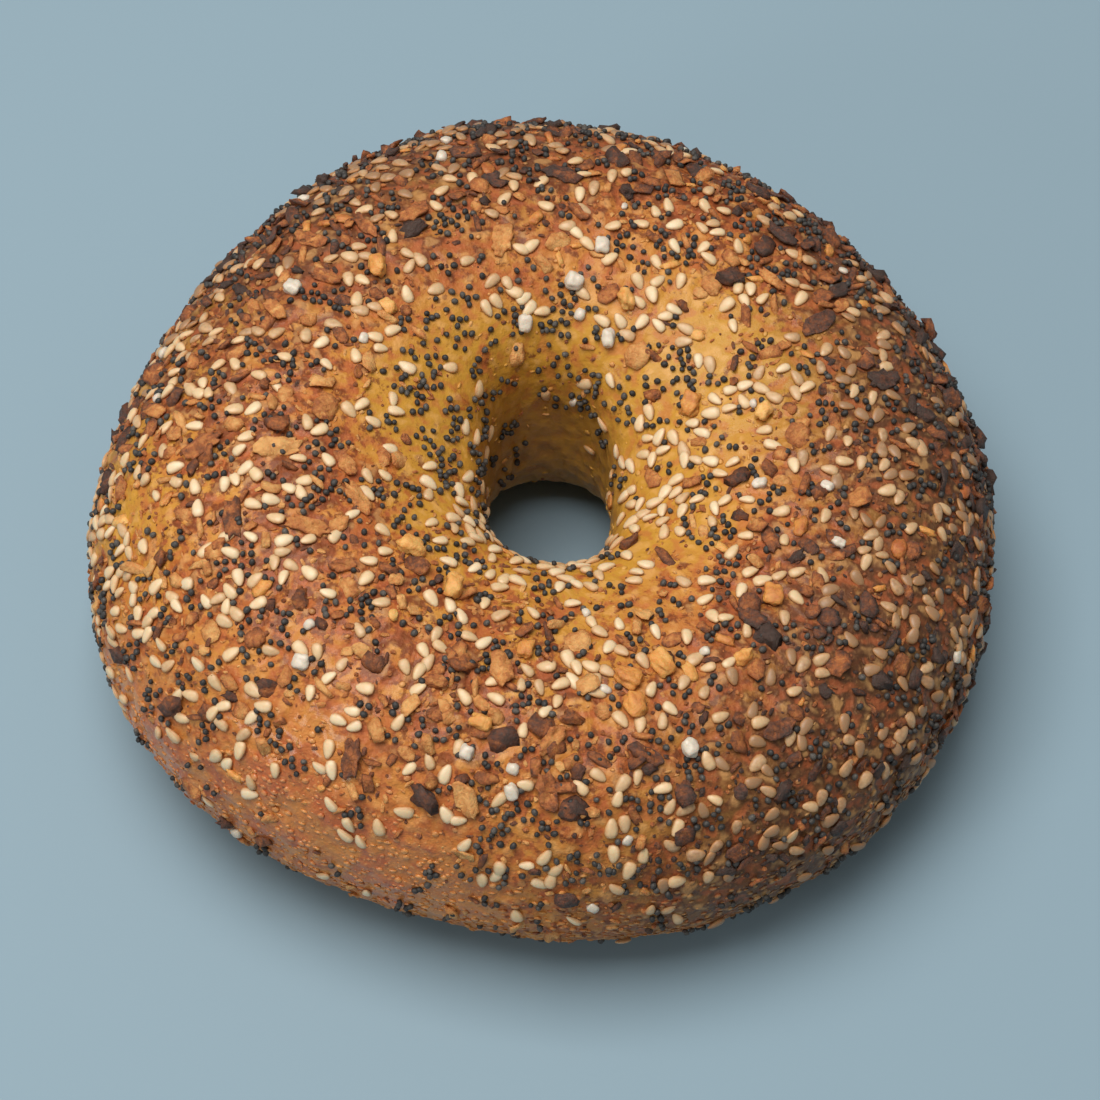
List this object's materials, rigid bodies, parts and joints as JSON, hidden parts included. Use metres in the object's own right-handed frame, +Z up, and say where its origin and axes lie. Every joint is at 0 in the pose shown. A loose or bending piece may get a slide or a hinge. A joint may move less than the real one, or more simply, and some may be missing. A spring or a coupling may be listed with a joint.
{
  "type": "bagel",
  "caption": "Everything bagel: a large lopsided boiled-and-baked dough ring with a narrow hole, its crust set with onion flakes, garlic bits, coarse salt, sesame and poppy seeds.",
  "frame": {"origin": "middle of the bagel's footprint, at the flat base, on the surface it rests on", "axes": "+Z up, out through the crown; +X to the right and +Y away from someone looking at the front, with the tallest side at the far left"},
  "size_m": [0.123, 0.1216, 0.0507],
  "materials": {
    "crust": "satin",
    "onion": "matte",
    "garlic": "matte",
    "salt": "satin",
    "sesame": "satin",
    "poppy": "matte"
  },
  "bodies": {
    "root": {"dough_ring": "crust", "onion_flake_01": "onion", "onion_flake_02": "onion", "onion_flake_03": "onion", "onion_flake_04": "onion", "onion_flake_05": "onion", "onion_flake_06": "onion", "onion_flake_07": "onion", "onion_flake_08": "onion", "onion_flake_09": "onion", "onion_flake_10": "onion", "onion_flake_11": "onion", "onion_flake_12": "onion", "onion_flake_13": "onion", "onion_flake_14": "onion", "onion_flake_15": "onion", "onion_flake_16": "onion", "onion_flake_17": "onion", "onion_flake_18": "onion", "onion_flake_19": "onion", "onion_flake_20": "onion", "onion_flake_21": "onion", "onion_flake_22": "onion", "onion_flake_23": "onion", "onion_flake_24": "onion", "onion_flake_25": "onion", "onion_flake_26": "onion", "onion_flake_27": "onion", "onion_flake_28": "onion", "onion_flake_29": "onion", "onion_flake_30": "onion", "onion_flake_31": "onion", "garlic_bit_01": "garlic", "garlic_bit_02": "garlic", "garlic_bit_03": "garlic", "garlic_bit_04": "garlic", "garlic_bit_05": "garlic", "garlic_bit_06": "garlic", "garlic_bit_07": "garlic", "garlic_bit_08": "garlic", "garlic_bit_09": "garlic", "garlic_bit_10": "garlic", "garlic_bit_11": "garlic", "garlic_bit_12": "garlic", "garlic_bit_13": "garlic", "garlic_bit_14": "garlic", "salt_crystal_01": "salt", "salt_crystal_02": "salt", "salt_crystal_03": "salt", "salt_crystal_04": "salt", "salt_crystal_05": "salt", "salt_crystal_06": "salt", "salt_crystal_07": "salt", "salt_crystal_08": "salt", "salt_crystal_09": "salt", "salt_crystal_10": "salt", "salt_crystal_11": "salt", "salt_crystal_12": "salt"}
  },
  "joints": []
}
